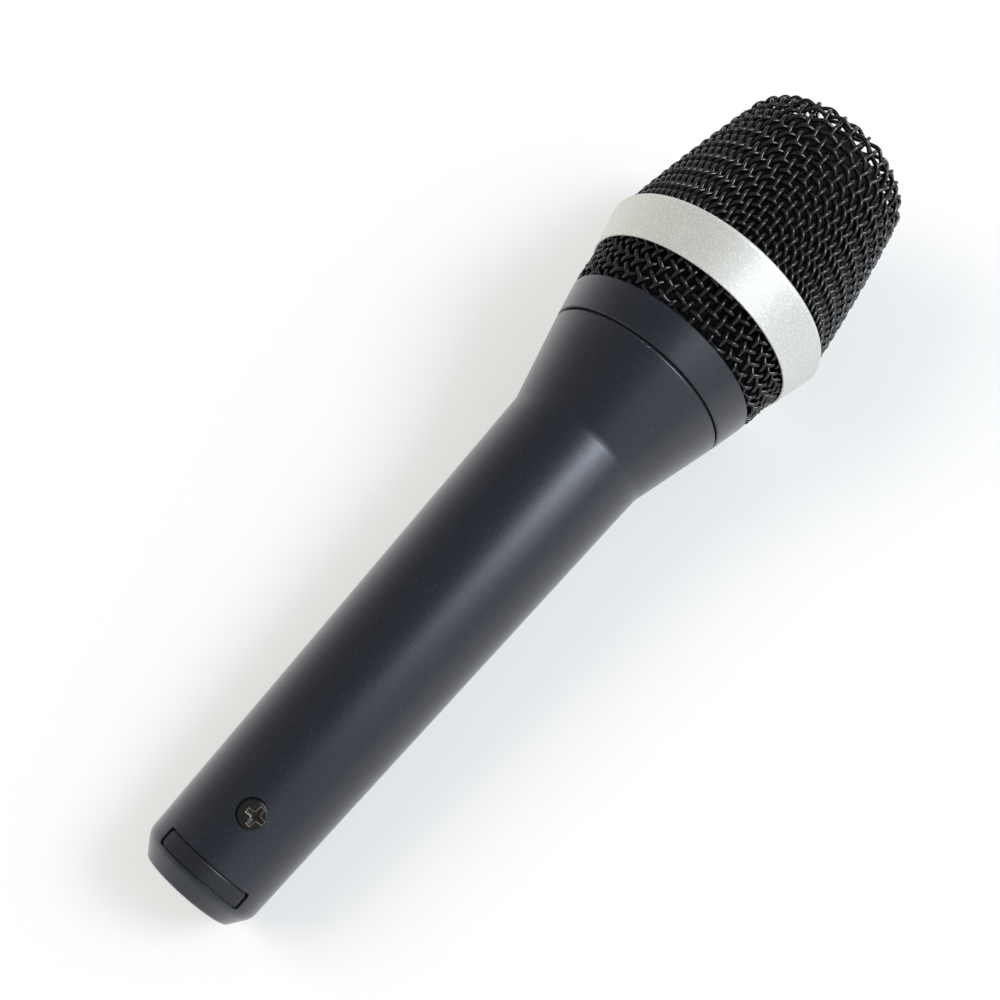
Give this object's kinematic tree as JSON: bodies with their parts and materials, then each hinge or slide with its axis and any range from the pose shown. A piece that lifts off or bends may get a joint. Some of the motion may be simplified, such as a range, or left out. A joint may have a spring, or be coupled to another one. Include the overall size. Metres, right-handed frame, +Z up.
{
  "type": "dynamic microphone",
  "caption": "Handheld dynamic vocal microphone with a woven wire head, silver band, tapered metal handle and a 3-pole connector in its end.",
  "frame": {"origin": "centre of the base of the microphone's box as it lies on a table", "axes": "+X along the microphone towards the head, +Z up from the table; the axis is raised 5.5 degrees"},
  "size_m": [0.1858, 0.0504, 0.0503],
  "materials": {
    "body_paint": "satin dark blue-grey metallic paint, fine sparkle",
    "label_black": "fine matte, blank",
    "screw_black": "glossy black, worn to bare metal in the cross",
    "insert_plastic": "glass-filled, matte",
    "contact_silver": "silver plate",
    "spring_brass": "sheet spring",
    "board_fibre": "bonded fibre board with tinned lugs",
    "lead_red": "soft insulation",
    "lead_black": "soft insulation",
    "carrier_plastic": "moulded, fine texture",
    "rubber_black": "matte",
    "mesh_black": "gloss black coated woven steel wire",
    "foam_black": "open-cell foam",
    "frame_steel": "black coated steel",
    "band_silver": "satin champagne silver, fine grain",
    "chamber_plastic": "moulded",
    "felt_grey": "pressed felt",
    "soft_iron": "turned, zinc plated",
    "magnet_nickel": "nickel plated",
    "coil_copper": "enamelled copper winding",
    "membrane": "thin clear film",
    "cap_aluminium": "pressed, satin"
  },
  "bodies": {
    "handle_body": {"handle": "body_paint", "label_plate": "label_black", "insert_screw": "screw_black", "xlr_insert": "insert_plastic", "contact_pin_1": "contact_silver", "contact_pin_2": "contact_silver", "contact_pin_3": "contact_silver", "ground_spring": "spring_brass", "terminal_board": "board_fibre", "lead_hot": "lead_red", "lead_cold": "lead_black", "capsule_carrier": "carrier_plastic"},
    "washer_body": {"seal_washer": "rubber_black"},
    "head_body": {"collar": "body_paint", "lower_grille": "mesh_black", "rear_foam": "foam_black", "grille_frame": "frame_steel", "grille_band": "band_silver", "upper_grille": "mesh_black", "grille_foam": "foam_black"},
    "capsule_body": {"rear_suspension": "rubber_black", "front_suspension": "rubber_black", "rear_chamber": "chamber_plastic", "damping_felt": "felt_grey", "capsule_basket": "carrier_plastic", "yoke": "soft_iron", "magnet": "magnet_nickel", "pole_piece": "soft_iron", "top_plate": "soft_iron", "diaphragm_ring": "chamber_plastic", "front_cap": "cap_aluminium"},
    "coil_body": {"voice_coil": "coil_copper", "diaphragm": "membrane"}
  },
  "joints": [
    {"name": "head_travel", "type": "slide", "parent": "handle_body", "child": "washer_body", "axis": [0.9954, 0, 0.0959], "range_m": [0, 0.005]},
    {"name": "head_unscrew", "type": "hinge", "parent": "washer_body", "child": "head_body", "pos_m": [0.03239, 0, 0.02309], "axis": [0.9954, 0, 0.0959], "range_deg": [0, 1800]},
    {"name": "capsule_float", "type": "slide", "parent": "handle_body", "child": "capsule_body", "axis": [0.9954, 0, 0.0959], "range_m": [-0.0008, 0.0008], "stiffness_N_per_m": 3000},
    {"name": "coil_stroke", "type": "slide", "parent": "capsule_body", "child": "coil_body", "axis": [0.9954, 0, 0.0959], "range_m": [-0.0003, 0.0003], "stiffness_N_per_m": 200}
  ],
  "couplings": [
    {"joint": "head_travel", "follows": "head_unscrew", "m_per_rad": 0.00015915}
  ]
}
